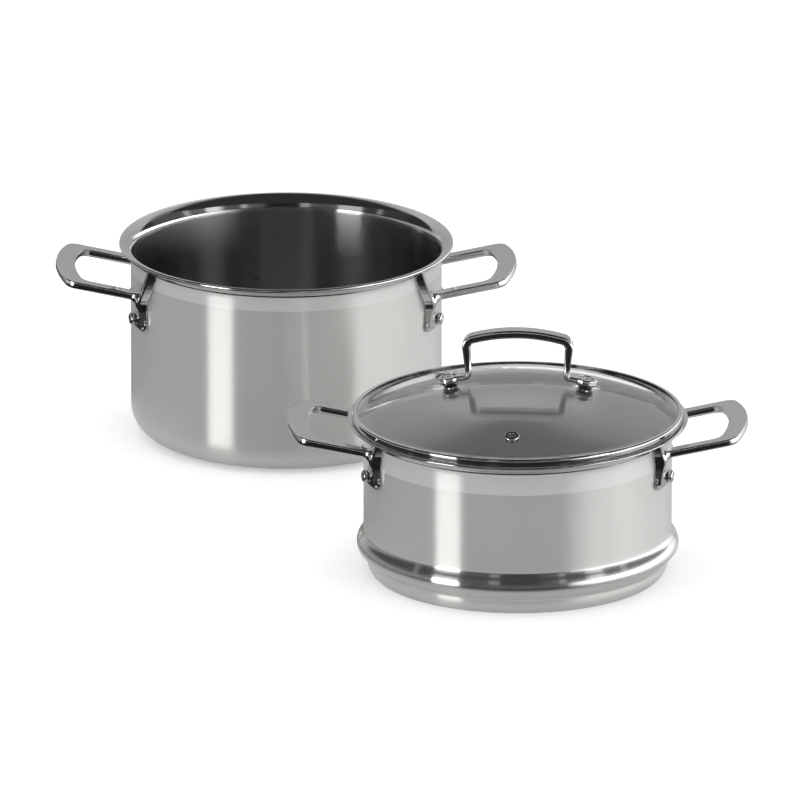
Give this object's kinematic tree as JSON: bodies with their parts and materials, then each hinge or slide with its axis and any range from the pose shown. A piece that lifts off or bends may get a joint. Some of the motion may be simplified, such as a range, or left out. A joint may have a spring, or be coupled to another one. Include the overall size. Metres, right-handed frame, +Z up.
{
  "type": "saucepan with steamer insert",
  "caption": "Deep steel saucepan with a flared pouring lip and loop handles, beside its steamer insert with a perforated floor and a domed glass lid.",
  "frame": {"origin": "middle of the saucepan's flat base, on the surface it stands on", "axes": "+Z up; +X to the right along the saucepan's two handles; +Y away from the steamer insert, which stands in front and to the right"},
  "size_m": [0.4539, 0.5215, 0.1637],
  "materials": {
    "vessel_steel": "polished, slightly satin outside and mirror inside",
    "cast_handle_steel": "polished casting with satin grips",
    "rim_steel": "mirror",
    "fitting_steel": "polished",
    "lid_glass": "clear, grey-green tint",
    "gasket_rubber": "matte"
  },
  "bodies": {
    "pot": {"pot_body": "vessel_steel", "pot_handle_left": "cast_handle_steel", "pot_handle_right": "cast_handle_steel", "pot_rivet_left_back": "fitting_steel", "pot_rivet_left_front": "fitting_steel", "pot_rivet_right_back": "fitting_steel", "pot_rivet_right_front": "fitting_steel"},
    "steamer": {"steamer_body": "vessel_steel", "steamer_handle_left": "cast_handle_steel", "steamer_handle_right": "cast_handle_steel", "steamer_rivet_left_back": "fitting_steel", "steamer_rivet_left_front": "fitting_steel", "steamer_rivet_right_back": "fitting_steel", "steamer_rivet_right_front": "fitting_steel"},
    "lid": {"lid_glass": "lid_glass", "lid_rim_ring": "rim_steel", "lid_handle": "cast_handle_steel", "lid_steam_vent": "fitting_steel", "lid_screw_left": "fitting_steel", "lid_screw_right": "fitting_steel", "lid_spacer_left": "fitting_steel", "lid_spacer_right": "fitting_steel", "lid_gasket_top_left": "gasket_rubber", "lid_gasket_top_right": "gasket_rubber", "lid_gasket_under_left": "gasket_rubber", "lid_gasket_under_right": "gasket_rubber", "lid_cap_nut_left": "fitting_steel", "lid_cap_nut_right": "fitting_steel"}
  },
  "joints": [
    {"name": "steamer_lift", "type": "slide", "parent": "pot", "child": "steamer", "axis": [0, 0, 1], "range_m": [0, 0.2]},
    {"name": "lid_lift", "type": "slide", "parent": "steamer", "child": "lid", "axis": [0, 0, 1], "range_m": [0, 0.12]}
  ]
}
